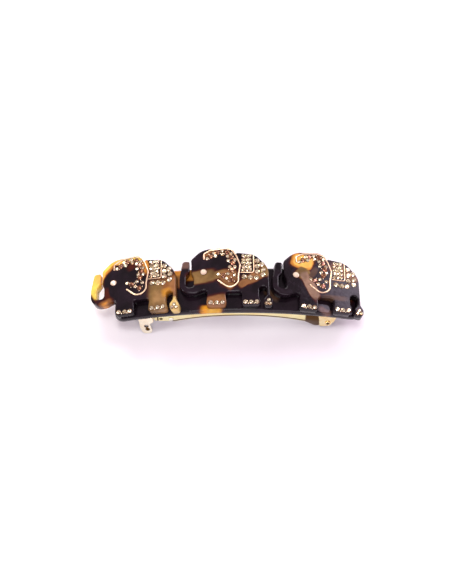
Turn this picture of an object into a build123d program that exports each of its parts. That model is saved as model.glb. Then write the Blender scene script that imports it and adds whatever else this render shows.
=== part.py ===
"""Hair barrette: a curved acetate bar with three cut-out elephants on a sprung metal clip.

Units are millimetres. X runs along the bar towards the clip's hinge, Y from the elephants'
feet to their heads, Z up through the decoration. Shapes are drawn about the bar's own zero,
which is the middle of its underside, and are moved into the part's frame as they are written:
the origin is below the middle of the whole barrette, level with the tips of the catch tabs.
"""
from build123d import *
from math import asin, cos, degrees, radians, sin, sqrt, tan
import os

os.makedirs("parts", exist_ok=True)

# Where the bar's own zero lies in the part's frame.
BAR_ZERO = (4.36, -3.31, 14.62)

# Bar.
BAR_RADIUS = 165.0
BAR_LENGTH = 97.6
BAR_WIDTH = 19.5
BAR_THICK = 2.4
BAR_CORNER = 4.0
BAR_EDGE = 0.6
OUTER_RADIUS = BAR_RADIUS + BAR_THICK

# Elephants: distance along the bar's outer face, height of the sole line, and a small turn.
ELEPHANT_THICK = 3.0
ELEPHANT_EDGE = 0.35
SOLE_LINE = -8.1
ELEPHANTS = {
    "left": (-41.3, -1.0, 0.0),
    "middle": (-5.0, -0.4, 0.0),
    "right": (31.1, -1.5, -1.0),
}
TURN_CENTRE = 12.0

# Outline of an elephant that looks left: (along, up, corner radius), anticlockwise.
ELEPHANT_OUTLINE = [
    # front foot, belly and hind foot
    (-7.1, -0.4, 1.3), (0.9, -0.4, 1.3), (0.4, 5.6, 1.2), (7.1, 5.6, 1.5), (6.5, -0.4, 1.3), (14.6, -0.4, 1.3),
    # gap in front of the tail, the tail's tuft and its outer side
    (13.7, 3.2, 2.0), (13.8, 7.6, 1.5), (16.8, 7.6, 1.4), (16.7, 3.5, 0.8), (15.4, 1.7, 0.8), (15.5, -1.0, 1.2),
    (18.9, -1.0, 1.2), (19.1, 1.5, 0.9), (17.9, 3.6, 0.8),
    # rump, back, notch behind the ear and the head
    (17.6, 16.3, 7.5), (12.3, 22.5, 6.2), (5.2, 23.5, 0.5), (4.5, 22.8, 0.25), (2.6, 26.2, 3.4), (-8.8, 25.2, 8.0),
    # slit and drop-shaped hole between the head and the trunk
    (-13.2, 20.6, 2.0), (-13.0, 18.0, 0.4), (-13.05, 14.7, 0.35), (-12.0, 12.4, 1.6), (-12.0, 7.9, 1.5),
    (-15.2, 7.9, 1.5), (-15.2, 13.2, 1.7), (-13.75, 14.9, 0.3),
    # trunk and chin
    (-13.75, 19.8, 0.4), (-16.5, 19.8, 1.3), (-17.7, 12.5, 8.0), (-17.6, 5.4, 4.3), (-11.3, 5.1, 4.0),
    (-6.5, 7.1, 1.2),
]

# Wire set into the face: a line round the ear and a line round the saddle cloth.
WIRE_WIDTH = 0.55
WIRE_DEPTH = 0.4
WIRE_PROUD = 0.12
EAR_WIRE = [
    (-8.0, 20.6), (-8.1, 22.9), (-5.2, 24.7), (0.6, 25.4), (3.2, 24.7), (4.9, 21.9), (6.4, 17.6), (5.6, 12.5),
    (5.6, 9.6), (2.6, 6.5), (-2.4, 10.7),
]
EAR_WIRE_RADII = [1.4, 3.0, 4.0, 1.6, 4.0, 3.0, 3.0, 2.0, 3.2]
SADDLE_WIRE = [(6.7, 14.1), (11.8, 13.9), (11.8, 21.8)]
SADDLE_WIRE_RADII = [0.8]

# Stones: (along, up) of each on the elephant's face, and the girdle radius of each kind.
EYE_STONES = [(-8.1, 14.7)]
EAR_TOPAZ = [(-5.3, 21.9), (-2.6, 23.5), (1.3, 23.6), (3.0, 21.1), (3.6, 18.4), (3.0, 15.4), (-0.4, 12.8), (2.9, 10.5)]
EAR_CLEAR = [
    (-6.8, 20.9), (-4.1, 23.4), (-3.4, 22.0), (-0.6, 24.3), (-0.4, 22.7), (1.5, 21.9), (3.0, 22.8),
    (1.7, 19.9), (4.2, 19.8), (2.2, 16.9), (4.4, 16.8), (-2.3, 13.6), (1.6, 13.6), (4.1, 12.9), (1.0, 11.5),
]
SADDLE_COLUMNS = [7.6, 9.0, 10.4]
SADDLE_ROWS = [15.3, 16.9, 18.5, 20.1, 21.7]
FRINGE_SIDE = [(13.1, 19.2), (13.2, 16.8), (13.3, 14.3), (15.1, 17.5), (15.5, 15.1), (15.4, 12.7)]
FRINGE_BELOW = [(8.1, 12.0), (10.4, 11.7), (12.7, 11.6)]
TOE_SPACING = 2.3
FOOT_CENTRES = [-3.1, 10.6]
TOE_HEIGHT = 0.75
TAIL_STONES = [(16.5, -0.1), (18.0, -0.2), (17.3, 1.2)]
STONE_RADIUS = {"eye": 1.15, "topaz": 0.85, "clear": 0.6, "saddle": 0.62, "fringe": 0.95, "toe": 0.75, "tail": 0.62}
STONE_SUNK = 0.35
GIRDLE_PROUD = 0.08
CROWN_RATIO = 0.45
TABLE_RATIO = 0.55

# Clip.
CLIP_Y = -4.75
CLIP_WIDTH = 9.0
PLATE_THICK = 0.8
PLATE_LENGTH = 80.6
PLATE_CORNER = 2.0
METAL = 0.6

# Hinge ears of the base plate, seen from the front: (x, z, corner radius).
EAR_OUTLINE = [
    (32.3, -3.6, 0.1), (39.6, -5.2, 0.1), (38.7, -8.6, 2.0), (37.2, -12.0, 1.8), (33.2, -12.4, 0.8),
]
EAR_THICK = 0.8

# Hinge pin, a hollow rivet.
HINGE_X = 36.3
HINGE_Z = -9.75
PIN_RADIUS = 0.75
PIN_BORE = 0.45
PIN_HEAD_RADIUS = 1.2
PIN_HEAD = 0.35
PIN_CLEARANCE = 0.06

# Arm: a channel whose sides are deep at the ends and shallow in the middle.
ARM_HALF = 3.55
ARM_GAP = 2.5
ARM_LEFT = -33.0
ARM_KINK = (-24.8, -8.85)
ARM_MIDDLE = -4.8
ARM_NECK = (27.0, -9.7)
ARM_HOLE = (-30.4, -6.9)
ARM_HOLE_RADIUS = 0.68
BOSS_AT = (-26.4, -6.95)
BOSS_RADIUS = 1.05
BOSS_HEIGHT = 0.45
BOSS_SHANK = 0.5
TONGUE_HALF = 2.6
TONGUE_LEFT = -38.6
TONGUE_Z = -7.65
LUG_HALF = 3.4
LUG_X = -36.8
LUG_LENGTH = 1.2

# Catch: a plate under the bar's left end and two sprung tabs that are pinched together.
# Its own axes: X along the bar's underside, Z square to it, zero on the underside.
CATCH_AT = -36.9
CATCH_LENGTH = 7.1
CATCH_LIP = 3.0
CATCH_RIVET_RADIUS = 0.7
CATCH_RIVET_HEAD = 1.2
TAB_HINGE_DEPTH = 1.35
TAB_HINGE_HALF = 4.05
TAB_BEAD = 0.42
TAB_BEAD_LENGTH = 5.8
TAB_BEAD_GAP = 0.05
TAB_THICK = 0.6
TAB_FLARE = 10.0
TAB_HOLE = (-0.8, 4.6)
TAB_HOLE_RADIUS = 0.85

# Outline of a tab, flat: (along, down from its hinge, corner radius).
TAB_OUTLINE = [
    (-2.8, 0.0, 0.1), (-3.45, 4.6, 2.0), (-3.3, 8.8, 1.9), (0.8, 9.4, 1.8), (0.8, 3.6, 0.5), (2.8, 2.4, 0.5),
    (2.8, 0.0, 0.1),
]

# Tension bow: a leaf with a rolled eye on a pin at the hinge end.
BOW_X = 30.0
BOW_DEPTH = 1.35
BOW_HALF = 2.2
BOW_THICK = 0.4
BOW_MIDDLE = -2.0
BOW_END = (-31.0, -4.45)
BOW_PIN_RADIUS = 0.4
BOW_EYE_RADIUS = 0.75
LUG_THICK = 0.5
BRACKET_THICK = 0.4
BRACKET_LENGTH = 3.0


def underside(x):
    """Height of the bar's underside at a distance x from its middle."""
    return sqrt(BAR_RADIUS**2 - x**2) - BAR_RADIUS


def write(name, *solids):
    """Move solids into the part's frame and write them as one node."""
    shape = solids[0] if len(solids) == 1 else Compound(children=list(solids))
    shape = shape.moved(Location(BAR_ZERO))
    shape.label = name
    export_step(shape, f"parts/{name}.step")
    print(name, len(shape.solids()), round(shape.volume, 2))


def across(radius, x, z, y_from, y_to):
    """A round bar that lies along Y, from one Y to another."""
    plane = Plane(origin=(x, y_from, z), x_dir=(1, 0, 0), z_dir=(0, 1, 0))
    return extrude(plane * Circle(radius), y_to - y_from)


def side_plate(corners, y_from, y_to):
    """A flat plate that stands along XZ: corners are (x, z, radius), and it spans two values of Y."""
    outline = FilletPolyline(*[(x, z) for x, z, _ in corners], radius=[r for _, _, r in corners], close=True)
    plane = Plane(origin=(0, y_to, 0), x_dir=(1, 0, 0), z_dir=(0, -1, 0))
    return extrude(plane * make_face(outline), y_to - y_from)


def bar_shell(inner, outer, length, y_from, y_to):
    """A strip of the bar's curve between two radii."""
    ring = across(outer, 0, -BAR_RADIUS, y_from, y_to) - across(inner, 0, -BAR_RADIUS, y_from, y_to)
    window = Pos(0, (y_from + y_to) / 2, 0) * Box(length, 2 * (y_to - y_from), 40)
    return ring & window


# Bar.
bar_blank = bar_shell(BAR_RADIUS, OUTER_RADIUS, BAR_LENGTH, -BAR_WIDTH / 2, BAR_WIDTH / 2)
bar_outline = extrude(Pos(0, 0, -20) * RectangleRounded(BAR_LENGTH, BAR_WIDTH, BAR_CORNER), 40)
bar = bar_blank & bar_outline
bar_rims = bar.edges().filter_by(lambda e: e.center().Z > underside(e.center().X) + BAR_THICK * 0.75)
bar = fillet(bar_rims, BAR_EDGE)
write("base_bar", bar.solid())


# Elephants.
def elephant_frame(place):
    """Location of an elephant's own axes: X along the bar, Y up the elephant, Z out of its face."""
    along, rise, turn = place
    angle = along / OUTER_RADIUS
    spot = (OUTER_RADIUS * sin(angle), SOLE_LINE + rise, OUTER_RADIUS * cos(angle) - BAR_RADIUS)
    swing = Pos(0, TURN_CENTRE, 0) * Rot(0, 0, turn) * Pos(0, -TURN_CENTRE, 0)
    return Location(spot) * Rot(0, degrees(angle), 0) * swing


def wire_strip(points, radii):
    """A flat strip of wire along a path on the elephant's face."""
    path = FilletPolyline(*points, radius=radii)
    face = make_face(offset(path, WIRE_WIDTH / 2, side=Side.BOTH).edges())
    return Pos(0, 0, ELEPHANT_THICK - WIRE_DEPTH) * extrude(face, WIRE_DEPTH + WIRE_PROUD)


def stone(point, radius):
    """A round stone: a straight girdle sunk in the face, and a sloping crown with a flat table."""
    x, y = point
    crown = radius * CROWN_RATIO
    low = ELEPHANT_THICK - STONE_SUNK
    girdle = Pos(x, y, low) * extrude(Circle(radius), STONE_SUNK + GIRDLE_PROUD)
    top = Cone(radius, radius * TABLE_RATIO, crown, align=(Align.CENTER, Align.CENTER, Align.MIN))
    return (girdle + Pos(x, y, ELEPHANT_THICK + GIRDLE_PROUD) * top).solid()


def stones(points, kind):
    """All stones of one kind on one elephant."""
    return [stone(point, STONE_RADIUS[kind]) for point in points]


toe_points = [(foot + k * TOE_SPACING, TOE_HEIGHT) for foot in FOOT_CENTRES for k in (-1, 0, 1)]
saddle_points = [(x, y) for x in SADDLE_COLUMNS for y in SADDLE_ROWS]

outline_line = FilletPolyline(
    *[(x, y) for x, y, _ in ELEPHANT_OUTLINE], radius=[r for _, _, r in ELEPHANT_OUTLINE], close=True
)
blank = Pos(0, 0, -2) * extrude(make_face(outline_line), ELEPHANT_THICK + 2)
blank_rims = blank.edges().filter_by(lambda e: e.center().Z > ELEPHANT_THICK - 0.01)
blank = fillet(blank_rims, ELEPHANT_EDGE)

trim = {
    "ear_wire": [wire_strip(EAR_WIRE, EAR_WIRE_RADII)],
    "saddle_wire": [wire_strip(SADDLE_WIRE, SADDLE_WIRE_RADII)],
    "eye_crystal": stones(EYE_STONES, "eye"),
    "ear_topaz": stones(EAR_TOPAZ, "topaz"),
    "ear_crystals": stones(EAR_CLEAR, "clear"),
    "saddle_crystals": stones(saddle_points, "saddle"),
    "fringe_crystals": stones(FRINGE_SIDE + FRINGE_BELOW, "fringe"),
    "toe_crystals": stones(toe_points, "toe"),
    "tail_crystals": stones(TAIL_STONES, "tail"),
}
for pieces in trim.values():
    for piece in pieces:
        blank = blank - piece

core = across(OUTER_RADIUS, 0, -BAR_RADIUS, -40, 60)
for side, place in ELEPHANTS.items():
    frame = elephant_frame(place)
    body = (frame * blank) - core
    write(f"elephant_{side}", body.solid())
    for name, pieces in trim.items():
        write(f"{name}_{side}", *[(frame * piece).solid() for piece in pieces])


def both_sides(make):
    """The same piece on the front and the rear of the clip: make takes -1 and 1."""
    return [make(-1), make(1)]


def flat_across(corners, half):
    """A plate that spans the clip from one side to the other."""
    return side_plate(corners, CLIP_Y - half, CLIP_Y + half)


def wall(corners, inner, outer, side):
    """A flat plate on one side of the clip, between two distances from its middle."""
    low, high = sorted((CLIP_Y + side * inner, CLIP_Y + side * outer))
    return side_plate(corners, low, high)


def rod(radius, x, z, inner, outer, side):
    """A round bar across the clip on one side of its middle."""
    low, high = sorted((CLIP_Y + side * inner, CLIP_Y + side * outer))
    return across(radius, x, z, low, high)


def long_rod(radius, x, z, half):
    """A round bar across the clip, centred on it."""
    return across(radius, x, z, CLIP_Y - half, CLIP_Y + half)


# Catch: the frame of its own axes, then the pieces that stay with the bar.
CATCH_TURN = degrees(asin(CATCH_AT / BAR_RADIUS))
catch_frame = Location((CATCH_AT, CLIP_Y, underside(CATCH_AT))) * Rot(0, CATCH_TURN, 0)

clip_half = CLIP_WIDTH / 2
plate_low = BAR_RADIUS - PLATE_THICK
rivet_length = PLATE_THICK + METAL
catch_shank = catch_frame * Pos(0, 0, -rivet_length) * extrude(Circle(CATCH_RIVET_RADIUS), rivet_length)

# Base plate with its hinge ears.
plate = bar_shell(plate_low, BAR_RADIUS, PLATE_LENGTH, CLIP_Y - clip_half, CLIP_Y + clip_half)
plate = plate & extrude(Pos(0, CLIP_Y, -20) * RectangleRounded(PLATE_LENGTH, CLIP_WIDTH, PLATE_CORNER), 40)
for ear in both_sides(lambda side: wall(EAR_OUTLINE, clip_half - EAR_THICK, clip_half, side)):
    plate = plate + ear
plate = plate - long_rod(PIN_RADIUS, HINGE_X, HINGE_Z, clip_half) - catch_shank
plate = plate & across(BAR_RADIUS, 0, -BAR_RADIUS, -40, 40)
write("clip_base_plate", plate.solid())

# Hinge pin.
pin = long_rod(PIN_RADIUS, HINGE_X, HINGE_Z, clip_half + PIN_HEAD)
for head in both_sides(lambda side: rod(PIN_HEAD_RADIUS, HINGE_X, HINGE_Z, clip_half, clip_half + PIN_HEAD, side)):
    pin = pin + head
pin = pin - long_rod(PIN_BORE, HINGE_X, HINGE_Z, CLIP_WIDTH)
write("hinge_pin", pin.solid())

# Catch plate and its rivet.
catch_half = TAB_HINGE_HALF - TAB_BEAD - TAB_BEAD_GAP
catch_blank = Pos(-0.35, 0, -PLATE_THICK) * Box(
    CATCH_LENGTH, 2 * catch_half, 2 * METAL, align=(Align.CENTER, Align.CENTER, Align.CENTER)
)
lip = Pos(-0.35 - CATCH_LENGTH / 2, 0, -PLATE_THICK) * Box(
    METAL, 2 * TONGUE_HALF, CATCH_LIP, align=(Align.MIN, Align.CENTER, Align.MAX)
)
catch_plate = (catch_frame * (catch_blank + lip)) & across(plate_low, 0, -BAR_RADIUS, -40, 40)
write("catch_plate", (catch_plate - catch_shank).solid())
catch_head = Pos(0, 0, -rivet_length) * Cone(
    CATCH_RIVET_HEAD * 0.7, CATCH_RIVET_HEAD, 0.35, align=(Align.CENTER, Align.CENTER, Align.MAX)
)
catch_rivet = (catch_shank + catch_frame * catch_head) & across(BAR_RADIUS, 0, -BAR_RADIUS, -40, 40)
write("catch_rivet", catch_rivet.solid())

# Catch tabs: each is a flared leaf below a bead that turns beside the catch plate.
tab_line = FilletPolyline(*[(x, -z) for x, z, _ in TAB_OUTLINE], radius=[r for _, _, r in TAB_OUTLINE], close=True)
tab_leaf = make_face(tab_line) - Pos(TAB_HOLE[0], -TAB_HOLE[1]) * Circle(TAB_HOLE_RADIUS)
for name, side in (("front_tab", -1), ("rear_tab", 1)):
    hinge = Pos(0, side * TAB_HINGE_HALF, -TAB_HINGE_DEPTH)
    leaf = Rot(90 + side * TAB_FLARE, 0, 0) * extrude(tab_leaf, TAB_THICK / 2, both=True)
    bead = Rot(0, 90, 0) * Cylinder(TAB_BEAD, TAB_BEAD_LENGTH)
    write(name, (catch_frame * hinge * (leaf + bead)).solid())

# Arm: side outline, lower curve first.
hinge_end = [(31.2, -13.3, 2.2), (37.6, -13.1, 1.8), (39.2, -9.6, 2.4), (37.0, -6.7, 1.2)]
top_left = (ARM_LEFT, underside(ARM_LEFT) - ARM_GAP)
top_middle = (0.0, -ARM_GAP)
top_right = (34.0, underside(34.0) - ARM_GAP)
low_left = (ARM_LEFT, -8.25)
lower_arch = ThreePointArc(ARM_KINK, (0.0, ARM_MIDDLE), ARM_NECK)
upper_arch = ThreePointArc(top_right, top_middle, top_left)
heel_points = [ARM_NECK] + [(x, z) for x, z, _ in hinge_end] + [top_right]
heel = FilletPolyline(*heel_points, radius=[r for _, _, r in hinge_end])
nose = Polyline(top_left, low_left, ARM_KINK)
arm_face = make_face([*lower_arch.edges(), *heel.edges(), *upper_arch.edges(), *nose.edges()])
side_view = Plane(origin=(0, CLIP_Y, 0), x_dir=(1, 0, 0), z_dir=(0, -1, 0))
arm = extrude(side_view * arm_face, ARM_HALF, both=True)
arm = arm - extrude(side_view * Pos(0, METAL) * arm_face, ARM_HALF - METAL, both=True)
tongue_low = TONGUE_Z - METAL
tongue = [
    (TONGUE_LEFT, tongue_low, 0.1), (ARM_LEFT + 1.2, tongue_low, 0.1), (ARM_LEFT + 1.2, TONGUE_Z, 0.1),
    (TONGUE_LEFT, TONGUE_Z, 0.1),
]
lug_right = LUG_X + LUG_LENGTH
lug = [(LUG_X, tongue_low, 0.1), (lug_right, tongue_low, 0.1), (lug_right, TONGUE_Z, 0.1), (LUG_X, TONGUE_Z, 0.1)]
arm = arm + flat_across(tongue, TONGUE_HALF) + flat_across(lug, LUG_HALF)
arm = arm - long_rod(PIN_RADIUS + PIN_CLEARANCE, HINGE_X, HINGE_Z, CLIP_WIDTH)
arm = arm - long_rod(ARM_HOLE_RADIUS, *ARM_HOLE, CLIP_WIDTH) - long_rod(BOSS_SHANK, *BOSS_AT, CLIP_WIDTH)
write("clip_arm", arm.solid())


# Bosses riveted to the arm's sides.
def boss(side):
    shank = rod(BOSS_SHANK, *BOSS_AT, ARM_HALF - METAL, ARM_HALF, side)
    head = rod(BOSS_RADIUS, *BOSS_AT, ARM_HALF, ARM_HALF + BOSS_HEIGHT, side)
    rim = head.edges().filter_by(lambda e: abs(e.center().Y - CLIP_Y) > ARM_HALF + BOSS_HEIGHT - 0.01)
    return (shank + fillet(rim, BOSS_HEIGHT * 0.8)).solid()


write("arm_bosses", *both_sides(boss))

# Bracket and pin that hold the tension bow's eye.
bow_z = underside(BOW_X) - PLATE_THICK - BOW_DEPTH
bracket_half = BOW_HALF + 0.05 + LUG_THICK
bracket = bar_shell(plate_low - BRACKET_THICK, plate_low, 2 * BRACKET_LENGTH + 2 * BOW_X, CLIP_Y - bracket_half,
                    CLIP_Y + bracket_half)
bracket = bracket & Pos(BOW_X, CLIP_Y, 0) * Box(BRACKET_LENGTH, CLIP_WIDTH, 40)
lug_top = underside(BOW_X) - PLATE_THICK - BRACKET_THICK / 2
bow_lug = [
    (BOW_X - 1.1, lug_top, 0.1), (BOW_X - 0.9, bow_z - 0.85, 0.7), (BOW_X + 0.9, bow_z - 0.85, 0.7),
    (BOW_X + 1.1, lug_top, 0.1),
]
for piece in both_sides(lambda side: wall(bow_lug, BOW_HALF + 0.05, bracket_half, side)):
    bracket = bracket + piece
write("bow_bracket", (bracket - long_rod(BOW_PIN_RADIUS, BOW_X, bow_z, CLIP_WIDTH)).solid())
write("bow_pin", long_rod(BOW_PIN_RADIUS, BOW_X, bow_z, bracket_half).solid())

# Tension bow.
bow_start = (BOW_X, bow_z + BOW_EYE_RADIUS - BOW_THICK / 2)
bow_curve = ThreePointArc(bow_start, (0.0, BOW_MIDDLE), BOW_END)
bow_face = make_face(offset(bow_curve, BOW_THICK / 2, side=Side.BOTH).edges())
bow = extrude(side_view * bow_face, BOW_HALF, both=True)
bow = bow + long_rod(BOW_EYE_RADIUS, BOW_X, bow_z, BOW_HALF)
bow = bow - long_rod(BOW_PIN_RADIUS + PIN_CLEARANCE, BOW_X, bow_z, CLIP_WIDTH)
write("tension_bow", bow.solid())
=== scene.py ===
import math
import random

import bmesh
import bpy
from mathutils import Matrix, Vector


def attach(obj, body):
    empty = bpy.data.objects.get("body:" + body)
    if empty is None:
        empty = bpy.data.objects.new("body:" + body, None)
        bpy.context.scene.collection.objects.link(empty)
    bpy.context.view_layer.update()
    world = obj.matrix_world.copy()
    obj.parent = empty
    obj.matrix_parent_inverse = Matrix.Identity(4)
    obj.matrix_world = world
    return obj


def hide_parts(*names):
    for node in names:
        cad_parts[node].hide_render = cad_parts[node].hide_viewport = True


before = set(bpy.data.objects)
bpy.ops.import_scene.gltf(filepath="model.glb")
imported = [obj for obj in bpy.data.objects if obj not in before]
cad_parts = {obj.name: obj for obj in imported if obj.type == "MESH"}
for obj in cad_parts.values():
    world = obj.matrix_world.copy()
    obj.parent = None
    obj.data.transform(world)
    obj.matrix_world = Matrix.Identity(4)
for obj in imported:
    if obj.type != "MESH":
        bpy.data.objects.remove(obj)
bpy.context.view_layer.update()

MM = 0.001
random.seed(7)

# Sizes are millimetres and angles degrees unless a line says otherwise.
# The curved bar: BAR_ZERO is the middle of its underside, and BAR_RADIUS the bend of that side.
BAR_ZERO = Vector((4.36, -3.31, 14.62))
BAR_RADIUS = 165.0
BAR_THICK = 2.4
BAR_LENGTH = 97.6
BAR_WIDTH = 19.5
BAR_CORNER = 4.0
BAR_RIM = 0.7
OUTER_RADIUS = BAR_RADIUS + BAR_THICK

# Elephants: thickness, rounding of the rim, and the ring of flat face beside it. SOLE_LINE is across the bar.
FACE = 3.0
RIM = 0.5
FLAT_START = 0.06
SOLE_LINE = -8.1
TURN_CENTRE = 12.0

# Each one's distance along the bar, rise above the sole line, and turn about a point TURN_CENTRE up.
PLACES = {"left": (-41.3, -1.0, 0.0), "middle": (-5.0, -0.4, 0.0), "right": (31.1, -1.5, -1.0)}

# Outline of an elephant that faces left: (along, up, corner radius) from its sole line, anticlockwise.
OUTLINE = [
    # front sole, belly and hind sole
    (-7.1, -0.4, 1.3), (0.9, -0.4, 1.3), (0.4, 5.6, 1.2), (7.1, 5.6, 1.5), (6.5, -0.4, 1.3),
    (14.6, -0.4, 1.3),
    # back of the hind leg, and the tail with its tuft
    (13.7, 3.2, 2.0), (13.8, 7.6, 1.5), (16.8, 7.6, 1.4), (16.7, 3.5, 0.8), (15.4, 1.7, 0.8),
    (15.5, -1.0, 1.2), (18.9, -1.0, 1.2), (19.1, 1.5, 0.9), (17.9, 3.6, 0.8),
    # rump and back, a notch behind the ear, and the head
    (17.6, 16.3, 7.5), (12.3, 22.5, 6.2), (5.2, 23.5, 0.5), (4.5, 22.8, 0.25), (2.6, 26.2, 3.4),
    (-8.8, 25.2, 8.0), (-13.2, 20.6, 2.0),
    # slit between head and trunk, which widens to a hole
    (-13.0, 18.0, 0.6), (-13.05, 14.7, 0.6), (-12.0, 12.4, 1.6), (-12.0, 7.9, 1.5), (-15.2, 7.9, 1.5),
    (-15.2, 13.2, 1.7), (-13.75, 14.9, 0.6), (-13.75, 19.8, 0.6),
    # trunk from its tip, and the chin
    (-16.5, 19.8, 1.3), (-17.7, 12.5, 8.0), (-17.6, 5.4, 4.3), (-11.3, 5.1, 4.0), (-6.5, 7.1, 1.2),
]

# Wires on the face: (along, up, corner radius), and how far they stand above it and reach into it.
# LINE_CAPS are the angles of the rings of a rounded end, and the flank's painted shade fades from dark to light
# between the two heights of LINE_SHADE.
EAR_LINE = [
    (-8.0, 20.6, 0), (-8.1, 22.9, 1.4), (-5.2, 24.7, 3.0), (0.6, 25.4, 4.0), (3.2, 24.7, 1.6),
    (4.9, 21.9, 4.0), (6.4, 17.6, 3.0), (5.6, 12.5, 3.0), (5.6, 9.6, 2.0), (2.6, 6.5, 3.2), (-2.4, 10.7, 0),
]
SADDLE_LINE = [(6.7, 14.1, 0), (11.8, 13.9, 0.8), (11.8, 21.8, 0)]
LINE_WIDTHS = {"ear": 0.72, "saddle": 0.5}
LINE_PROUD = 0.24
LINE_SUNK = 0.15
LINE_SIDES = 8
LINE_CAPS = (30, 60, 85)
LINE_SHADE = (0.08, 0.2)

# Stones: (along, up) of each on the face, and the radius of each kind.
FEET = (-3.1, 10.6)
TOE_STEP = 2.3
TOE_UP = 0.75
CLOTH_COLUMNS = (7.6, 9.0, 10.4)
CLOTH_ROWS = (15.3, 16.9, 18.5, 20.1, 21.7)
STONES = {
    "eye": [(-8.1, 14.7)],
    "topaz": [
        (-5.3, 21.9), (-2.6, 23.5), (1.3, 23.6), (3.0, 21.1), (3.6, 18.4), (3.0, 15.4), (-0.4, 12.8),
        (2.9, 10.5),
    ],
    "ear": [
        (-6.8, 20.9), (-4.1, 23.4), (-3.4, 22.0), (-0.6, 24.3), (-0.4, 22.7), (1.5, 21.9), (3.0, 22.8),
        (1.7, 19.9), (4.2, 19.8), (2.2, 16.9), (4.4, 16.8), (-2.3, 13.6), (1.6, 13.6), (4.1, 12.9),
        (1.0, 11.5),
    ],
    "saddle": [(x, y) for x in CLOTH_COLUMNS for y in CLOTH_ROWS],
    "fringe": [
        (13.1, 19.2), (13.2, 16.8), (13.3, 14.3), (15.1, 17.5), (15.5, 15.1), (15.4, 12.7), (8.1, 12.0),
        (10.4, 11.7), (12.7, 11.6),
    ],
    "toe": [(foot + k * TOE_STEP, TOE_UP) for foot in FEET for k in (-1, 0, 1)],
    "tail": [(16.5, -0.1), (18.0, -0.2), (17.3, 1.2)],
}
STONE_RADIUS = {
    "eye": 1.25, "topaz": 0.98, "ear": 0.72, "saddle": 0.69, "fringe": 1.05, "toe": 0.9, "tail": 0.68,
}
STONE_NODES = {
    "eye": "eye_crystal", "topaz": "ear_topaz", "ear": "ear_crystals", "saddle": "saddle_crystals",
    "fringe": "fringe_crystals", "toe": "toe_crystals", "tail": "tail_crystals",
}

# Cut of a stone. The foot, the break between its two rows of facets, and the table are shares of its radius.
# The table stands STONE_HEIGHT of the radius above the girdle, and the break stands at a share of that.
STONE_SIDES = 8
STONE_SUNK = 0.3
STONE_GIRDLE = 0.08
STONE_FOOT = 0.97
STONE_BREAK = 0.8
STONE_BREAK_HEIGHT = 0.58
STONE_TABLE = 0.52
STONE_HEIGHT = 0.5

# As set by hand, a stone leans and lies a little off its place.
STONE_TILT = 7.0
STONE_SHIFT = 0.13

# Rim of a drilled seat: rings as (past the stone, above the face), then the inner edge as (share of the
# stone's radius, above the face).
SEAT_SIDES = 20
SEAT_RIM = [(0.16, -0.05), (0.13, 0.03)]
SEAT_INNER = (0.8, 0.04)

# Beads: between the stones of cloth and feet, and a few at random angles round each topaz.
BEAD_RADIUS = 0.26
BEAD_SUNK = 0.2
PRONGS = 3
PRONG_REACH = 1.28
PRONG_RADIUS = 0.24

# Parts of the clip: how much their edges are rolled over, the sharpest bend left as it is, and how close two
# vertices have to be to be made one.
EDGE_ROLL = 0.1
EDGE_ANGLE = 35.0
SEAM = 0.002

# Camera: it looks at VIEW_AIM from the front, and the lens is in millimetres of focal length.
VIEW_ELEVATION = 60.0
VIEW_DISTANCE = 500.0
VIEW_ROLL = 0.5
VIEW_AIM = BAR_ZERO + Vector((-4.38, -0.14, 0.0))
VIEW_LENS = 77.5

# Lights: place and size in metres, watts and colour. The floor reaches FLOOR_HALF metres each way.
LIGHTS = {
    "back_key": ((-0.15, 0.8, 0.66), (0.7, 0.3), 6.8, (1, 1, 1)),
    "overhead": ((-0.05, -0.1, 0.78), (0.28, 0.28), 1.9, (1, 1, 1)),
    "left_fill": ((-0.75, -0.22, 0.4), (0.22, 0.22), 2.2, (1, 1, 1)),
    "right_rim": ((0.8, 0.5, 0.2), (0.16, 0.26), 1.2, (1, 1, 1)),
    "front_fill": ((0.1, -0.8, 0.45), (0.6, 0.3), 3.4, (1.0, 0.87, 1.0)),
    "right_back": ((0.525, 0.37, 0.53), (0.3, 0.34), 2.1, (0.95, 0.8, 1.0)),
}
SKY = (1.0, 0.81, 0.91, 1)
SKY_STRENGTH = 0.45
FLOOR_HALF = 2.0

# Colours, as sRGB in 0 to 255.
INK = (19, 14, 18)
PLUM = (33, 23, 31)
OXBLOOD = (72, 26, 16)
AMBER = (228, 152, 62)
HONEY = (244, 188, 92)
LEMON = (242, 208, 92)
CREAM = (218, 188, 116)
OLIVE = (138, 108, 64)
CLAY = (150, 104, 64)
TOFFEE = (150, 98, 54)
UMBER = (78, 56, 42)
OCHRE = (168, 130, 82)
FAWN = (172, 136, 112)
DUN = (104, 78, 70)
SAFFRON = (216, 146, 34)
# The next colour is painted shade and dark reflection on the clip's gold.
SHADE_BRONZE = (84, 54, 6)
BRASS = (184, 128, 44)
GOLDEN = (210, 164, 54)
# The next colour is a painted highlight: the glints on the stones.
PAINTED_GLINT = (255, 226, 196)
FRINGED = (AMBER, SAFFRON, HONEY, LEMON, CREAM, OLIVE, CLAY, TOFFEE, OCHRE, FAWN, BRASS)
MOTTLED = (OLIVE, CLAY, TOFFEE, AMBER, OCHRE, FAWN)

# Acetate. Patches have wavering edges, light ones end in a brown-red fringe, and mottled ones drift to a
# deeper tone. The fringe and the soft edge are shares of the patch's size, and grow with its softness.
WAVER = 1.3
FRINGE = (0.8, 1.45)
FRINGE_GROWTH = 2.2
EDGE_GROWTH = 1.5
DEEPER = 0.74
HAZE = ((255, 255, 255), (228, 222, 216))
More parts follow.
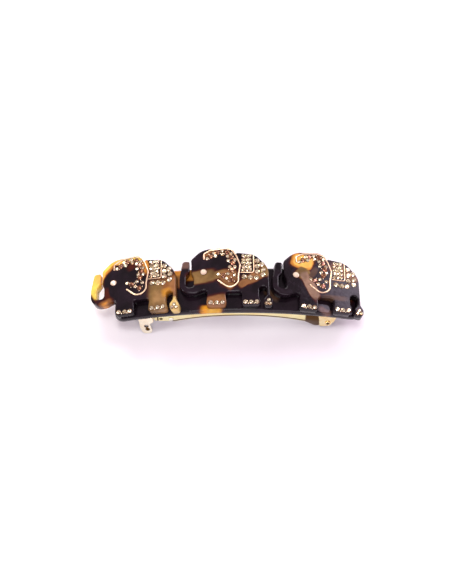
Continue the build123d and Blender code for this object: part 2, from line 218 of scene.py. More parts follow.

# Painted shade on the clip's gold, (along, up) from BAR_ZERO: dark bronze for the shade and dark reflections on
# the metal. The arm's sides, which start between the two distances of ARM_WALL from its middle, have a painted
# dark line just above their lower arc, a painted shaded heel beside the hinge and a painted dark line for a
# crease that the metal does not have. A hole has a radius too, and its inside is painted dark as shade: the
# pin's takes in the rolled edge of its bore.
ARM_ARC = [(-24.8, -8.85), (0.0, -4.8), (27.0, -9.7)]
ARM_SHADE_LINE = (0.15, 0.95)
ARM_HEEL_SHADE = (27.2, 33.0)
ARM_CREASE_SHADE = (-32.0, -31.4)
ARM_WALL = (3.4, 3.53)
ARM_HOLE = ((-30.4, -6.9), 0.68)
PIN_BORE = ((36.3, -9.75), 0.66)
HOLE_MARGIN = 0.07
HOLE_SOFT = 0.03

# The clip lies along CLIP_Y, with the catch square to the bar at CATCH_AT. A tab is hinged (across, up) from
# there and flares outwards, and its hole is (along, down the leaf) from the hinge, with a radius.
CLIP_Y = -4.75
CATCH_AT = -36.9
TAB_HINGE = (4.05, -1.35)
TAB_FLARE = 10.0
TAB_HOLE = ((-0.8, 4.6), 0.85)


def linear(colour):
    """A colour in 0 to 255 sRGB as linear RGBA."""
    parts = [c / 255 for c in colour]
    return (*[p / 12.92 if p <= 0.04045 else ((p + 0.055) / 1.055) ** 2.4 for p in parts], 1.0)


# ---------------------------------------------------------------- materials
class Paint:
    """A node material with one Principled shader, and short ways to add nodes."""

    def __init__(self, name, rough, metal=0.0, coat=0.0):
        self.mat = bpy.data.materials.new(name)
        self.mat.use_nodes = True
        self.tree = self.mat.node_tree
        self.shader = self.tree.nodes["Principled BSDF"]
        self.shader.inputs["Roughness"].default_value = rough
        self.shader.inputs["Metallic"].default_value = metal
        self.shader.inputs["Coat Weight"].default_value = coat
        self.shader.inputs["Coat Roughness"].default_value = 0.03
        self.place = self.node("ShaderNodeTexCoord").outputs["Object"]

    def node(self, kind, **settings):
        made = self.tree.nodes.new(kind)
        for key, value in settings.items():
            setattr(made, key, value)
        return made

    def link(self, source, target):
        self.tree.links.new(source, target)

    def noise(self, scale, detail=2.0, where=None):
        """Noise at a scale in features per metre."""
        made = self.node("ShaderNodeTexNoise")
        made.inputs["Scale"].default_value = scale
        made.inputs["Detail"].default_value = detail
        self.link(where or self.place, made.inputs["Vector"])
        return made

    def cloud(self, scale, detail, low, high, where=None):
        """0 to 1 where the noise goes from low to high."""
        return self.spread(self.noise(scale, detail, where).outputs["Fac"], low, high, 0.0, 1.0)

    def spread(self, source, low, high, to_low, to_high, smooth=False):
        """One range of values mapped to another."""
        made = self.node("ShaderNodeMapRange", interpolation_type="SMOOTHSTEP" if smooth else "LINEAR")
        for key, value in zip(("From Min", "From Max", "To Min", "To Max"), (low, high, to_low, to_high)):
            made.inputs[key].default_value = value
        self.link(source, made.inputs["Value"])
        return made.outputs["Result"]

    def mix(self, factor, under, over, how="MIX"):
        """Mix two colours: each is a socket or an sRGB colour."""
        made = self.node("ShaderNodeMix", data_type="RGBA", blend_type=how)
        if isinstance(factor, float):
            made.inputs["Factor"].default_value = factor
        else:
            self.link(factor, made.inputs["Factor"])
        for socket, value in ((made.inputs[6], under), (made.inputs[7], over)):
            if isinstance(value, tuple):
                socket.default_value = linear(value)
            else:
                self.link(value, socket)
        return made.outputs[2]

    def offset(self, centre, keep=(1, 1, 1)):
        """The vector from a point in millimetres, with only the axes in keep counted."""
        made = self.node("ShaderNodeVectorMath", operation="MULTIPLY_ADD")
        made.inputs[1].default_value = keep
        made.inputs[2].default_value = [-part * use * MM for part, use in zip(centre, keep)]
        self.link(self.place, made.inputs[0])
        return made.outputs["Vector"]

    def length(self, source):
        """Length of a vector."""
        made = self.node("ShaderNodeVectorMath", operation="LENGTH")
        self.link(source, made.inputs[0])
        return made.outputs["Value"]

    def band(self, source, low, high, soft):
        """1 between two values in millimetres and 0 outside them."""
        rise = self.spread(source, (low - soft) * MM, (low + soft) * MM, 0.0, 1.0, smooth=True)
        fall = self.spread(source, (high - soft) * MM, (high + soft) * MM, 1.0, 0.0, smooth=True)
        return self.both(rise, fall)

    def both(self, one, two):
        """The product of two masks."""
        made = self.node("ShaderNodeMath", operation="MULTIPLY")
        self.link(one, made.inputs[0])
        self.link(two, made.inputs[1])
        return made.outputs[0]

    def bore(self, centre, axis, radius):
        """1 on the wall of a hole about an axis, where shade is painted; the mask runs the whole length of the
        axis.
        """
        made = self.node("ShaderNodeVectorMath", operation="CROSS_PRODUCT")
        self.link(self.offset(centre), made.inputs[0])
        made.inputs[1].default_value = axis
        edge = radius + HOLE_MARGIN
        reach = self.length(made.outputs["Vector"])
        return self.spread(reach, (edge - HOLE_SOFT) * MM, (edge + HOLE_SOFT) * MM, 1.0, 0.0)

    def rough(self, scale, low, high):
        """Roughness that varies between two values."""
        cloud = self.noise(scale, 3.0)
        value = self.spread(cloud.outputs["Fac"], 0.3, 0.7, low, high)
        self.link(value, self.shader.inputs["Roughness"])

    def bump(self, scale, height):
        """A fine unevenness of the surface, height in millimetres."""
        cloud = self.noise(scale)
        made = self.node("ShaderNodeBump")
        made.inputs["Distance"].default_value = height * MM
        self.link(cloud.outputs["Fac"], made.inputs["Height"])
        self.link(made.outputs["Normal"], self.shader.inputs["Normal"])


def bent_place(paint):
    """Object coordinates that waver, so that no patch has a straight edge."""
    cloud = paint.noise(260)
    shift = paint.node("ShaderNodeVectorMath", operation="MULTIPLY_ADD")
    shift.inputs[1].default_value = (WAVER * MM, WAVER * MM, 0)
    shift.inputs[2].default_value = (-WAVER * MM / 2, -WAVER * MM / 2, 0)
    paint.link(cloud.outputs["Color"], shift.inputs[0])
    bent = paint.node("ShaderNodeVectorMath", operation="ADD")
    paint.link(paint.place, bent.inputs[0])
    paint.link(shift.outputs["Vector"], bent.inputs[1])
    return bent.outputs["Vector"]


def patch_reach(paint, place, patch):
    """1 on the edge of a patch, a rounded oblong, less inside it and more outside."""
    along, up, half_length, half_width, angle = patch[:5]
    local = paint.node("ShaderNodeMapping", vector_type="TEXTURE")
    local.inputs["Location"].default_value = (along * MM, up * MM, 0)
    local.inputs["Rotation"].default_value = (0, 0, math.radians(angle))
    local.inputs["Scale"].default_value = (half_length * MM, half_width * MM, 1.0)
    paint.link(place, local.inputs["Vector"])
    squared = paint.node("ShaderNodeVectorMath", operation="MULTIPLY")
    paint.link(local.outputs["Vector"], squared.inputs[0])
    paint.link(local.outputs["Vector"], squared.inputs[1])
    return paint.length(squared.outputs["Vector"])


def acetate(name, patches):
    """Polished tortoiseshell: a dark sheet with patches of lighter colours.

    A patch is (along, up, half length, half width, angle, softness, colour), and lies over the ones before it.
    All the brown-red fringes are under all the patches."""
    paint = Paint(name, rough=0.1)
    paint.shader.inputs["Specular IOR Level"].default_value = 0.25
    place = bent_place(paint)
    reaches = [patch_reach(paint, place, patch) for patch in patches]
    colour = paint.mix(paint.cloud(120, 3.0, 0.4, 0.65), INK, PLUM)
    for reach, (*_, softness, shade) in zip(reaches, patches):
        if shade in FRINGED:
            outer = FRINGE[1] + FRINGE_GROWTH * softness
            fringe = paint.spread(reach, FRINGE[0], outer, 1.0, 0.0, smooth=True)
            colour = paint.mix(fringe, colour, OXBLOOD)
    drift = paint.cloud(170, 3.0, 0.35, 0.68)
    for reach, (*_, softness, shade) in zip(reaches, patches):
        if shade in MOTTLED:
            shade = paint.mix(drift, shade, tuple(round(part * DEEPER) for part in shade))
        soft = EDGE_GROWTH * softness
        mask = paint.spread(reach, 1 - soft, 1 + soft, 1.0, 0.0, smooth=True)
        colour = paint.mix(mask, colour, shade)
    tone = paint.mix(paint.cloud(420, 3.0, 0.3, 0.7), *HAZE)
    paint.link(paint.mix(1.0, colour, tone, "MULTIPLY"), paint.shader.inputs["Base Color"])
    paint.rough(900, 0.06, 0.14)
    paint.bump(220, 0.02)
    return paint.mat


def circle(one, two, three):
    """Centre and radius of the circle through three points."""
    (ax, ay), (bx, by), (cx, cy) = one, two, three
    area = 2 * (ax * (by - cy) + bx * (cy - ay) + cx * (ay - by))
    a2, b2, c2 = ax * ax + ay * ay, bx * bx + by * by, cx * cx + cy * cy
    x = (a2 * (by - cy) + b2 * (cy - ay) + c2 * (ay - by)) / area
    y = (a2 * (cx - bx) + b2 * (ax - cx) + c2 * (bx - ax)) / area
    return x, y, math.hypot(ax - x, ay - y)


def gold(name, light, dark, low, high, painted_shade=None, cloud_scale=320):
    """Polished plate: colour and roughness drift a little over the metal; painted shade is bronze-dark."""
    paint = Paint(name, rough=low, metal=1.0)
    colour = paint.mix(paint.cloud(cloud_scale, 3.0, 0.35, 0.7), light, dark)
    for mask in painted_shade(paint) if painted_shade else []:
        colour = paint.mix(mask, colour, SHADE_BRONZE)
    paint.link(colour, paint.shader.inputs["Base Color"])
    paint.rough(1500, low, high)
    paint.bump(700, 0.012)
    return paint.mat


def arm_painted_shade(paint):
    """Painted shade on the arm: a dark line, a shaded heel and a dark crease line on its sides, and its hole.
    """
    x, z, radius = circle(*ARM_ARC)
    arc = paint.length(paint.offset(BAR_ZERO + Vector((x, 0, z)), (1, 0, 1)))
    apart = paint.node("ShaderNodeSeparateXYZ")
    paint.link(paint.offset(BAR_ZERO), apart.inputs[0])
    along = apart.outputs["X"]
    aside = paint.length(paint.offset(BAR_ZERO + Vector((0, CLIP_Y, 0)), (0, 1, 0)))
    walls = paint.spread(aside, ARM_WALL[0] * MM, ARM_WALL[1] * MM, 0.0, 1.0)
    (x, z), hole = ARM_HOLE
    return [
        paint.both(walls, paint.band(arc, radius + ARM_SHADE_LINE[0], radius + ARM_SHADE_LINE[1], soft=0.12)),
        paint.both(walls, paint.band(along, *ARM_HEEL_SHADE, soft=0.35)),
        paint.both(walls, paint.band(along, *ARM_CREASE_SHADE, soft=0.15)),
        paint.bore(BAR_ZERO + Vector((x, 0, z)), (0, 1, 0), hole),
    ]


def pin_painted_shade(paint):
    """Painted shade inside the bore of the hollow hinge pin."""
    (x, z), radius = PIN_BORE
    return [paint.bore(BAR_ZERO + Vector((x, 0, z)), (0, 1, 0), radius)]


def tab_painted_shade(paint):
    """Painted shade inside the holes of the two catch tabs, each square to its flared leaf.
    Each bore runs on along its axis, so it also paints a stray dark spot below the other tab's hole.
    """
    turn = math.asin(CATCH_AT / BAR_RADIUS)
    under = math.sqrt(BAR_RADIUS**2 - CATCH_AT**2) - BAR_RADIUS
    catch = Matrix.Translation(BAR_ZERO + Vector((CATCH_AT, CLIP_Y, under)))
    catch = catch @ Matrix.Rotation(turn, 4, "Y")
    (x, down), radius = TAB_HOLE
    masks = []
    for side in (-1, 1):
        hinge = Matrix.Translation((0, side * TAB_HINGE[0], TAB_HINGE[1]))
        leaf = catch @ hinge @ Matrix.Rotation(math.radians(90 + side * TAB_FLARE), 4, "X")
        masks.append(paint.bore(leaf @ Vector((x, -down, 0)), leaf.to_3x3() @ Vector((0, 0, 1)), radius))
    return masks


def wire(name, light, dark, low):
    """Half-round wire whose lower flanks are painted a deeper colour as shade."""
    paint = Paint(name, rough=0.3, metal=1.0)
    colour = paint.mix(paint.cloud(900, 2.0, 0.35, 0.7), light, dark)
    apart = paint.node("ShaderNodeSeparateXYZ")
    paint.link(paint.place, apart.inputs[0])
    # The lower flanks are painted darker as shade, up to the light colour between the heights of LINE_SHADE.
    bottom, top = ((FACE + rise) * MM for rise in LINE_SHADE)
    flank = paint.spread(apart.outputs["Z"], bottom, top, 1.0, 0.0, smooth=True)
    paint.link(paint.mix(flank, colour, low), paint.shader.inputs["Base Color"])
    paint.rough(1500, 0.26, 0.38)
    paint.bump(700, 0.012)
    return paint.mat


def crystal(name, light, dark, metal, painted_glint=PAINTED_GLINT):
    """A foiled cut stone, painted in bright and dark specks for the light and shade of its facets, with painted
    glints.
    """
    paint = Paint(name, rough=0.08, metal=metal, coat=0.8)
    colour = paint.mix(paint.cloud(1400, 1.0, 0.42, 0.6), light, dark)
    # Painted glints: bright specks on a noise shifted away from the facets' noise.
    elsewhere = paint.offset((40, 10, 5))
    colour = paint.mix(paint.cloud(1900, 0.0, 0.6, 0.64, elsewhere), colour, painted_glint)
    paint.link(colour, paint.shader.inputs["Base Color"])
    paint.rough(2500, 0.04, 0.12)
    return paint.mat


# ---------------------------------------------------------------- shapes
def rounded(corners, closed, step=0.22):
    """A line through corners, each (x, y, radius), with the corners rounded off."""
    count = len(corners)
    line = []
    for i, (x, y, radius) in enumerate(corners):
        here = Vector((x, y))
        if not closed and i in (0, count - 1):
            line.append(here)
            continue
        before = Vector(corners[i - 1][:2]) - here
        after = Vector(corners[(i + 1) % count][:2]) - here
        before.normalize()
        after.normalize()
        half = before.angle(after) / 2
        reach = radius / math.tan(half)
        centre = here + (before + after).normalized() * (radius / math.sin(half))
        start = here + before * reach - centre
        turn = math.pi - 2 * half
        if before.x * after.y - before.y * after.x > 0:
            turn = -turn
        pieces = max(3, math.ceil(abs(turn) * radius / step))
        for k in range(pieces + 1):
            spin = Matrix.Rotation(turn * k / pieces, 2)
            line.append(centre + spin @ start)
    return line


def inward(line):
    """For each point of a closed anticlockwise line, the step to take inwards for a distance of one."""
    steps = []
    for i, here in enumerate(line):
        back = (here - line[i - 1]).normalized()
        ahead = (line[(i + 1) % len(line)] - here).normalized()
        normal = Vector((-back.y - ahead.y, back.x + ahead.x)).normalized()
        stretch = max(0.7, normal.dot(Vector((-ahead.y, ahead.x))))
        steps.append(normal / stretch)
    return steps


def rim_profile(low, top, radius, count=5):
    """(distance in, height) of the rings from the lower edge over a rounded upper rim to the flat."""
    rings = [(0.0, low), (0.0, (low + top - radius) / 2)]
    for k in range(count + 1):
        a = math.radians(90 * k / count)
        rings.append((radius * (1 - math.cos(a)), top - radius + radius * math.sin(a)))
    rings.append((radius + FLAT_START, top))
    return rings


def slab(line, rings, cut_every):
    """A bmesh plate inside a closed line, cut across so that it can follow a curve."""
    bm = bmesh.new()
    steps = inward(line)
    loops = []
    for inset, height in rings:
        loops.append([bm.verts.new((*(here + step * inset), height)) for here, step in zip(line, steps)])
    count = len(line)
    for lower, upper in zip(loops, loops[1:]):
        for i in range(count):
            j = (i + 1) % count
            bm.faces.new((lower[i], lower[j], upper[j], upper[i]))
    bm.faces.new(loops[-1])
    bm.faces.new(list(reversed(loops[0])))
    left, right = min(here.x for here in line), max(here.x for here in line)
    at = math.ceil(left / cut_every) * cut_every
    while at < right:
        everything = bm.verts[:] + bm.edges[:] + bm.faces[:]
        bmesh.ops.bisect_plane(bm, geom=everything, plane_co=(at, 0, 0), plane_no=(1, 0, 0), dist=1e-5)
        at += cut_every
    return bm


def piece(name, bm, mat, smooth, matrix, body, replaced):
    """Turn a bmesh in millimetres into an object that rides on a body."""
    bm.normal_update()
    for vert in bm.verts:
        vert.co *= MM
    mesh = bpy.data.meshes.new(name)
    bm.to_mesh(mesh)
    bm.free()
    for polygon in mesh.polygons:
        polygon.use_smooth = smooth
    mesh.materials.append(mat)
    obj = bpy.data.objects.new(name, mesh)
    bpy.context.collection.objects.link(obj)
    obj.matrix_world = matrix
    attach(obj, body)
    if replaced:
        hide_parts(*replaced)
    return obj


def elephant_matrix(place):
    """An elephant's own axes in the frame, in metres: X along the bar, Y up, and Z out of its face."""
    along, rise, turn = place
    angle = along / OUTER_RADIUS
    x, z = OUTER_RADIUS * math.sin(angle), OUTER_RADIUS * math.cos(angle) - BAR_RADIUS
    spot = BAR_ZERO + Vector((x, SOLE_LINE + rise, z))
    centre = Matrix.Translation((0, TURN_CENTRE * MM, 0))
    swing = centre @ Matrix.Rotation(math.radians(turn), 4, "Z") @ centre.inverted()
    return Matrix.Translation(spot * MM) @ Matrix.Rotation(angle, 4, "Y") @ swing


def elephant(side, mat):
    """The cut-out body of one elephant: its back is hollowed to lie on the bar."""
    bm = slab(rounded(OUTLINE, True), rim_profile(0.0, FACE, RIM), cut_every=3.0)
    turn = math.radians(PLACES[side][2])
    for vert in bm.verts:
        on_back = vert.co.z < 0.001
        if on_back:
            across = math.cos(turn) * vert.co.x - math.sin(turn) * (vert.co.y - TURN_CENTRE)
            vert.co.z = math.sqrt(OUTER_RADIUS**2 - across**2) - OUTER_RADIUS
    matrix = elephant_matrix(PLACES[side])
    name = f"{side}_elephant"
    return piece(name, bm, mat, True, matrix, "barrette", [f"elephant_{side}"])


def shifted(spot):
    """A stone's place, a little off as set by hand."""
    return tuple(part + random.uniform(-STONE_SHIFT, STONE_SHIFT) for part in spot)


def lean():
    """A small random turn."""
    return math.radians(random.uniform(-STONE_TILT, STONE_TILT))


def add_ring(bm, seat, count, reach, z, offset=0.0):
    """Vertices evenly round the axis of a seat, turned by a share of one step."""
    turns = (2 * math.pi * (k + offset) / count for k in range(count))
    return [bm.verts.new(seat @ Vector((reach * math.cos(a), reach * math.sin(a), z))) for a in turns]


def add_stone(bm, spot, radius):
    """One cut stone: girdle, two rows of facets and a table, slightly askew."""
    tilt = Matrix.Rotation(lean(), 4, "X")
    tilt = tilt @ Matrix.Rotation(lean(), 4, "Y")
    tilt = tilt @ Matrix.Rotation(random.uniform(0, math.pi), 4, "Z")
    seat = Matrix.Translation((*spot, FACE)) @ tilt
    height = radius * STONE_HEIGHT
    around = 2 * STONE_SIDES
    low = add_ring(bm, seat, around, radius * STONE_FOOT, -STONE_SUNK)
    girdle = add_ring(bm, seat, around, radius, STONE_GIRDLE)
    rise = STONE_GIRDLE + height * STONE_BREAK_HEIGHT
    middle = add_ring(bm, seat, STONE_SIDES, radius * STONE_BREAK, rise, 0.5)
    table = add_ring(bm, seat, STONE_SIDES, radius * STONE_TABLE, STONE_GIRDLE + height)
    for i in range(around):
        j = (i + 1) % around
        bm.faces.new((low[i], low[j], girdle[j], girdle[i]))
    for i in range(STONE_SIDES):
        after = (i + 1) % STONE_SIDES
        bm.faces.new((table[i], middle[i], table[after]))
        bm.faces.new((table[i], middle[i - 1], girdle[2 * i], middle[i]))
        bm.faces.new((middle[i], girdle[2 * i], girdle[2 * i + 1]))
        bm.faces.new((middle[i], girdle[2 * i + 1], girdle[(2 * i + 2) % around]))
    bm.faces.new(table)
    bm.faces.new(list(reversed(low)))


def add_seat(bm, spot, radius):
    """The rim of the drilled seat that a stone sits in: dark bronze, dark enough to paint the shade round the
    stone too.
    """
    rings = [(radius + past, z) for past, z in SEAT_RIM]
    rings.append((radius * SEAT_INNER[0], SEAT_INNER[1]))
    seat = Matrix.Translation((*spot, FACE))
    rows = [add_ring(bm, seat, SEAT_SIDES, reach, z) for reach, z in rings]
    for lower, upper in zip(rows, rows[1:]):
        for i in range(SEAT_SIDES):
            j = (i + 1) % SEAT_SIDES
            bm.faces.new((lower[i], lower[j], upper[j], upper[i]))
    bm.faces.new(rows[-1])


def add_bead(bm, spot, radius):
    """A small round bead, sunk in the face a little past its middle."""
    seat = Matrix.Translation((*spot, FACE - radius * BEAD_SUNK))
    bmesh.ops.create_icosphere(bm, subdivisions=2, radius=radius, matrix=seat)


def between(values):
    """The middle between each value and the next."""
    return [(one + two) / 2 for one, two in zip(values, values[1:])]


def bead_spots():
    """Places of the beads among the stones of the saddle cloth and of the feet."""
    spots = [(x, y) for x in between(CLOTH_COLUMNS) for y in between(CLOTH_ROWS)]
    return spots + [(foot + k * TOE_STEP / 2, 0.0) for foot in FEET for k in (-1, 1)]


def add_wire(bm, line, width):
    """A half-round wire along an open line on the face, with rounded ends."""
    half = width / 2
    last = len(line) - 1
    ways = [(line[min(i + 1, last)] - line[max(i - 1, 0)]).normalized() for i in range(last + 1)]
    sections = [(here, way, 1.0) for here, way in zip(line, ways)]
    caps = []
    for spot, way, sign in ((line[0], ways[0], -1), (line[-1], ways[-1], 1)):
        turns = [math.radians(angle) for angle in LINE_CAPS]
        caps.append([(spot + way * (sign * half * math.sin(a)), way, math.cos(a)) for a in turns])
    rows = []
    for here, way, size in list(reversed(caps[0])) + sections + caps[1]:
        side = Vector((-way.y, way.x))
        row = []
        for k in range(LINE_SIDES + 1):
            a = math.pi * k / LINE_SIDES
            at = here + side * (half * size * math.cos(a))
            row.append(bm.verts.new((at.x, at.y, FACE + LINE_PROUD * size * math.sin(a))))
        for k in (-1, 1):
            at = here + side * (k * half * size)
            row.append(bm.verts.new((at.x, at.y, FACE - LINE_SUNK)))
        rows.append(row)
    for one, two in zip(rows, rows[1:]):
        for k in range(len(one)):
            m = (k + 1) % len(one)
            bm.faces.new((one[k], two[k], two[m], one[m]))
    bm.faces.new(list(reversed(rows[0])))
    bm.faces.new(rows[-1])
    bmesh.ops.recalc_face_normals(bm, faces=bm.faces[:])


def bar(mat):
    """The curved bar: a flat plate whose every height is laid on its own arc."""
    corners = []
    for x, y in ((-1, -1), (1, -1), (1, 1), (-1, 1)):
        corners.append((x * BAR_LENGTH / 2, y * BAR_WIDTH / 2, BAR_CORNER))
    bm = slab(rounded(corners, True), rim_profile(0.0, BAR_THICK, BAR_RIM, 6), cut_every=2.0)
    for vert in bm.verts:
        share = vert.co.z / BAR_THICK
        under = math.sqrt(BAR_RADIUS**2 - vert.co.x**2)
        over = math.sqrt(OUTER_RADIUS**2 - vert.co.x**2)
        vert.co.z = under + (over - under) * share - BAR_RADIUS
    matrix = Matrix.Translation(BAR_ZERO * MM)
    return piece("curved_bar", bm, mat, True, matrix, "barrette", ["base_bar"])


def polished(node, name, mat, body):
    """A copy of a metal part of the clip with its sharp edges rolled over."""
    bm = bmesh.new()
    bm.from_mesh(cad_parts[node].data)
    for vert in bm.verts:
        vert.co /= MM
    bmesh.ops.remove_doubles(bm, verts=bm.verts[:], dist=SEAM)
    almost_flat = math.radians(1.0)
    bmesh.ops.dissolve_limit(bm, angle_limit=almost_flat, verts=bm.verts[:], edges=bm.edges[:])
    obj = piece(name, bm, mat, True, Matrix.Identity(4), body, [node])
    roll = obj.modifiers.new("rolled_edges", "BEVEL")
    roll.width = EDGE_ROLL * MM
    roll.segments = 3
    roll.limit_method = "ANGLE"
    roll.angle_limit = math.radians(EDGE_ANGLE)
    roll.harden_normals = True
    return obj


# ---------------------------------------------------------------- the barrette
# Patches, as acetate() takes them: an elephant's are on its own axes, and the bar's start from its middle.
PATCHES = {
    "left": [
        # trunk, head's upper rim and chin
        (-11.6, 21.8, 6.4, 2.3, 49, 0.3, AMBER), (-12.2, 22.4, 6.4, 2.0, 48, 0.25, LEMON),
        (-16.4, 15.0, 7.0, 3.6, 90, 0.2, LEMON), (-14.0, 17.8, 2.8, 1.8, 75, 0.4, HONEY),
        (-17.6, 6.2, 4.6, 2.4, 120, 0.3, OXBLOOD), (-17.4, 5.8, 4.3, 2.1, 122, 0.25, INK),
        (-10.6, 9.0, 3.2, 1.1, 100, 0.6, OXBLOOD), (-11.0, 4.9, 2.6, 1.8, 28, 0.5, TOFFEE),
        (-11.6, 4.6, 1.6, 1.0, 28, 0.7, AMBER),
        (-2.0, 25.3, 7.0, 2.0, 6, 0.35, HONEY), (0.4, 25.4, 4.6, 1.7, -6, 0.4, LEMON),
        (4.8, 21.6, 4.2, 1.2, 105, 0.5, AMBER), (-0.2, 21.6, 2.6, 1.4, 40, 0.8, OXBLOOD),
        # hindquarters, tail and hind leg
        (12.0, 6.6, 5.6, 6.4, 0, 0.45, UMBER), (13.8, 8.4, 3.8, 4.2, 0, 0.5, TOFFEE),
        (9.8, 5.2, 2.9, 7.0, 0, 0.45, OLIVE), (11.4, 3.4, 2.6, 4.6, 0, 0.6, OCHRE),
        (12.6, 1.4, 3.2, 3.0, 0, 0.5, OCHRE),
        (17.2, 9.6, 4.6, 1.8, 88, 0.5, CLAY), (14.2, 7.0, 1.9, 1.7, 10, 0.8, BRASS),
        (17.4, 1.2, 2.8, 3.2, 0, 0.4, CREAM),
    ],
    "middle": [
        # trunk's tip
        (-16.0, 18.8, 2.2, 2.4, 0, 0.4, DUN),
        # band through the eye and the lower ear
        (-8.8, 12.5, 5.2, 2.8, 9, 0.25, OLIVE), (-2.4, 13.3, 3.6, 1.7, 14, 0.35, OLIVE),
        (1.8, 12.2, 3.6, 3.0, 20, 0.35, CLAY), (2.2, 8.6, 1.6, 1.9, 45, 0.4, CLAY),
        # band over the rump
        (8.4, 9.8, 3.2, 1.5, 38, 0.2, CLAY), (13.2, 12.6, 4.9, 1.9, 33, 0.25, CLAY),
        (16.4, 15.0, 2.6, 2.0, 70, 0.4, OLIVE),
        # start of the ear and the front leg
        (-6.2, 23.5, 2.4, 0.8, 42, 0.4, CLAY),
        (-2.2, -0.6, 4.8, 4.6, 10, 0.16, CLAY),
    ],
    "right": [
        # forehead, and the band from the eye to the belly
        (-5.6, 21.2, 4.5, 3.4, -12, 0.14, AMBER), (-5.2, 21.4, 3.9, 2.8, -10, 0.2, HONEY),
        (-5.2, 15.6, 2.9, 2.6, -35, 0.18, OLIVE), (-2.4, 10.4, 6.4, 1.9, -64, 0.2, FAWN),
        (-0.8, 16.6, 2.6, 1.1, 60, 0.5, UMBER),
        # back, rump and belly
        (10.4, 18.6, 4.2, 2.0, -25, 0.5, TOFFEE), (15.4, 15.4, 1.3, 1.1, 0, 0.6, CLAY),
        (7.5, 5.8, 4.6, 1.0, 0, 0.7, UMBER),
    ],
}
BAR_PATCHES = [
    (-24.2, 7.2, 3.4, 4.2, 80, 0.3, AMBER), (-24.6, 4.4, 3.2, 2.6, 0, 0.5, TOFFEE),
    (-18.2, 7.0, 2.6, 2.4, 0, 0.3, AMBER),
    (-10.4, -9.5, 3.7, 1.8, -8, 0.45, SAFFRON), (-9.4, -9.8, 2.5, 1.0, -8, 0.8, GOLDEN),
    (13.6, -2.8, 3.2, 1.5, -42, 0.5, UMBER), (34.4, -8.4, 2.6, 1.3, -25, 0.5, DUN),
    (44.0, 3.0, 5.0, 4.0, 60, 0.4, TOFFEE),
]

light_gold = gold("light_gold", (255, 240, 188), (248, 218, 152), 0.12, 0.24)
# The arm's and the pin's gold carry painted shade on the arm's sides and inside their holes.
arm_gold_painted_shade = gold("arm_gold_painted_shade", (255, 250, 194), (252, 232, 162), 0.12, 0.24, arm_painted_shade, cloud_scale=160)
pin_gold_painted_shade = gold("pin_gold_painted_shade", (250, 222, 170), (240, 200, 140), 0.12, 0.24, pin_painted_shade)
# The tabs' gold is paler than the rest as painted light, for how brightly they are lit, and their holes carry
# painted shade.
tab_gold_painted_light_and_shade = gold("tab_gold_painted_light_and_shade", (255, 250, 226), (254, 240, 206), 0.16, 0.28, tab_painted_shade)
# The studs' near-white colour is a painted highlight on their domes.
stud_gold_painted_highlight = gold("stud_gold_painted_highlight", (250, 248, 232), (232, 232, 210), 0.3, 0.4)
# The seat rims' dark bronze is their own colour and also paints the shade round each stone.
seat_metal_and_shade = gold("seat_bronze_and_shade", (92, 58, 36), (60, 36, 24), 0.3, 0.5)
# The wire's last colour is the painted shade on its lower flanks.
line_gold = wire("rose_gold", (248, 222, 188), (230, 192, 152), (136, 86, 64))
bead_gold = gold("bead_gold", (255, 242, 214), (240, 214, 176), 0.2, 0.32)
# Each stone's light and dark colours are its own tint painted with the light and shade of its facets; the
# topaz's last colour is its painted glint.
clear = crystal("clear_stone", (254, 252, 214), (156, 124, 78), 0.74)
brown = crystal("topaz_stone", (146, 84, 48), (74, 38, 24), 0.66, painted_glint=(226, 172, 122))
milky = crystal("eye_stone", (255, 238, 210), (238, 212, 182), 0.3)



def wires(side, matrix):
    """The inlaid wires of one elephant."""
    for label, corners in (("ear", EAR_LINE), ("saddle", SADDLE_LINE)):
        bm = bmesh.new()
        add_wire(bm, rounded(corners, False), LINE_WIDTHS[label])
        name, node = f"{side}_{label}_line", f"{label}_wire_{side}"
        piece(name, bm, line_gold, True, matrix, "barrette", [node])


def seats(side, matrix, set_stones):
    """The rims of the seats of one elephant."""
    bm = bmesh.new()
    for kind, spots in set_stones.items():
        for spot in spots:
            add_seat(bm, spot, STONE_RADIUS[kind])
    piece(f"{side}_stone_seats", bm, seat_metal_and_shade, False, matrix, "barrette", [])


def beads(side, matrix, topaz):
    """The beads of one elephant."""
    bm = bmesh.new()
    for spot in bead_spots():
        add_bead(bm, spot, BEAD_RADIUS)
    for x, y in topaz:
        first = random.uniform(0, 2 * math.pi)
        for k in range(PRONGS):
            a = first + 2 * math.pi * k / PRONGS
            add_bead(bm, (x + PRONG_REACH * math.cos(a), y + PRONG_REACH * math.sin(a)), PRONG_RADIUS)
    piece(f"{side}_prong_beads", bm, bead_gold, True, matrix, "barrette", [])


def stones(side, matrix, set_stones):
    """The stones of one elephant, with a piece for each kind."""
    for kind, spots in set_stones.items():
        bm = bmesh.new()
        for spot in spots:
            add_stone(bm, spot, STONE_RADIUS[kind])
        mat = {"topaz": brown, "eye": milky}.get(kind, clear)
        node = f"{STONE_NODES[kind]}_{side}"
        piece(f"{side}_{kind}_stones", bm, mat, False, matrix, "barrette", [node])


bar(acetate("bar_acetate", BAR_PATCHES))
for side, place in PLACES.items():
    elephant(side, acetate(f"{side}_acetate", PATCHES[side]))
    matrix = elephant_matrix(place)
    set_stones = {kind: [shifted(spot) for spot in spots] for kind, spots in STONES.items()}
    wires(side, matrix)
    seats(side, matrix, set_stones)
    beads(side, matrix, set_stones["topaz"])
    stones(side, matrix, set_stones)

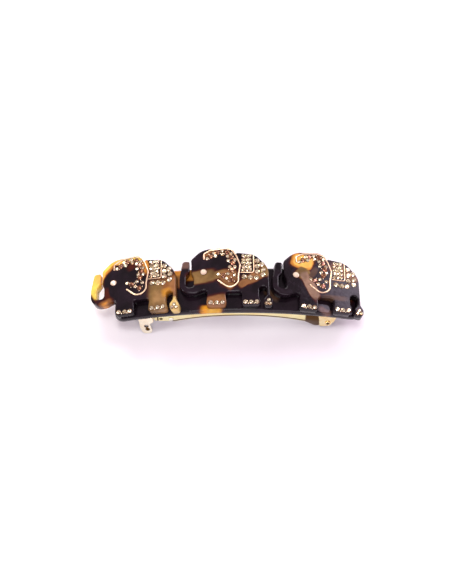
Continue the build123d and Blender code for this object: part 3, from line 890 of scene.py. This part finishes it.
# Parts of the clip: each node's piece, body and metal.
CLIP = {
    "clip_base_plate": ("base_plate", "barrette", light_gold),
    "hinge_pin": ("hinge_rivet", "barrette", pin_gold_painted_shade),
    "catch_plate": ("catch_block", "barrette", light_gold),
    "catch_rivet": ("catch_stud", "barrette", light_gold),
    "bow_bracket": ("bow_mount", "barrette", light_gold),
    "bow_pin": ("bow_axle", "barrette", light_gold),
    "clip_arm": ("sprung_arm", "arm", arm_gold_painted_shade),
    "arm_bosses": ("arm_studs", "arm", stud_gold_painted_highlight),
    "front_tab": ("front_pinch_leaf", "front_pinch_tab", tab_gold_painted_light_and_shade),
    "rear_tab": ("rear_pinch_leaf", "rear_pinch_tab", tab_gold_painted_light_and_shade),
    "tension_bow": ("bow_leaf", "bow", light_gold),
}
for node, (name, body, metal) in CLIP.items():
    polished(node, name, metal, body)


# ---------------------------------------------------------------- studio
def camera():
    """A long lens that looks down on the front of the barrette."""
    rise = math.radians(VIEW_ELEVATION)
    away = Vector((0, -math.cos(rise), math.sin(rise)))
    data = bpy.data.cameras.new("view_camera")
    data.lens = VIEW_LENS
    data.clip_start = 0.01
    data.clip_end = 10
    spot = bpy.data.objects.new("view_camera", data)
    bpy.context.collection.objects.link(spot)
    turn = away.to_track_quat("Z", "Y").to_matrix().to_4x4()
    spot.matrix_world = Matrix.Translation((VIEW_AIM + away * VIEW_DISTANCE) * MM) @ turn
    spot.matrix_world = spot.matrix_world @ Matrix.Rotation(-math.radians(VIEW_ROLL), 4, "Z")
    bpy.context.scene.camera = spot


def softbox(name, place, size, power, colour):
    """A rectangular soft light that faces the barrette."""
    data = bpy.data.lights.new(name, "AREA")
    data.shape = "RECTANGLE"
    data.size, data.size_y = size
    data.energy = power
    data.color = colour
    lamp = bpy.data.objects.new(name, data)
    bpy.context.collection.objects.link(lamp)
    at = Vector(place)
    lamp.matrix_world = Matrix.Translation(at) @ at.to_track_quat("Z", "Y").to_matrix().to_4x4()


def pale_floor():
    """A plain paper floor that the barrette stands on."""
    paint = Paint("floor_paper", rough=0.7)
    tone = paint.mix(paint.cloud(60, 4.0, 0.3, 0.7), (250, 248, 249), (247, 244, 246))
    paint.link(tone, paint.shader.inputs["Base Color"])
    bm = bmesh.new()
    bmesh.ops.create_grid(bm, x_segments=8, y_segments=8, size=FLOOR_HALF)
    mesh = bpy.data.meshes.new("floor")
    bm.to_mesh(mesh)
    bm.free()
    mesh.materials.append(paint.mat)
    floor = bpy.data.objects.new("floor", mesh)
    bpy.context.collection.objects.link(floor)


def studio():
    """Sky, lights and floor, with colours shown as they are and no glare thrown on the floor by the gold."""
    world = bpy.data.worlds.new("studio")
    bpy.context.scene.world = world
    world.use_nodes = True
    sky = world.node_tree.nodes["Background"]
    sky.inputs["Color"].default_value = SKY
    sky.inputs["Strength"].default_value = SKY_STRENGTH
    for name, settings in LIGHTS.items():
        softbox(name, *settings)
    pale_floor()
    look = bpy.context.scene.view_settings
    look.view_transform = "Standard"
    look.look = "None"
    look.exposure = 0.0
    bpy.context.scene.cycles.caustics_reflective = False


camera()
studio()
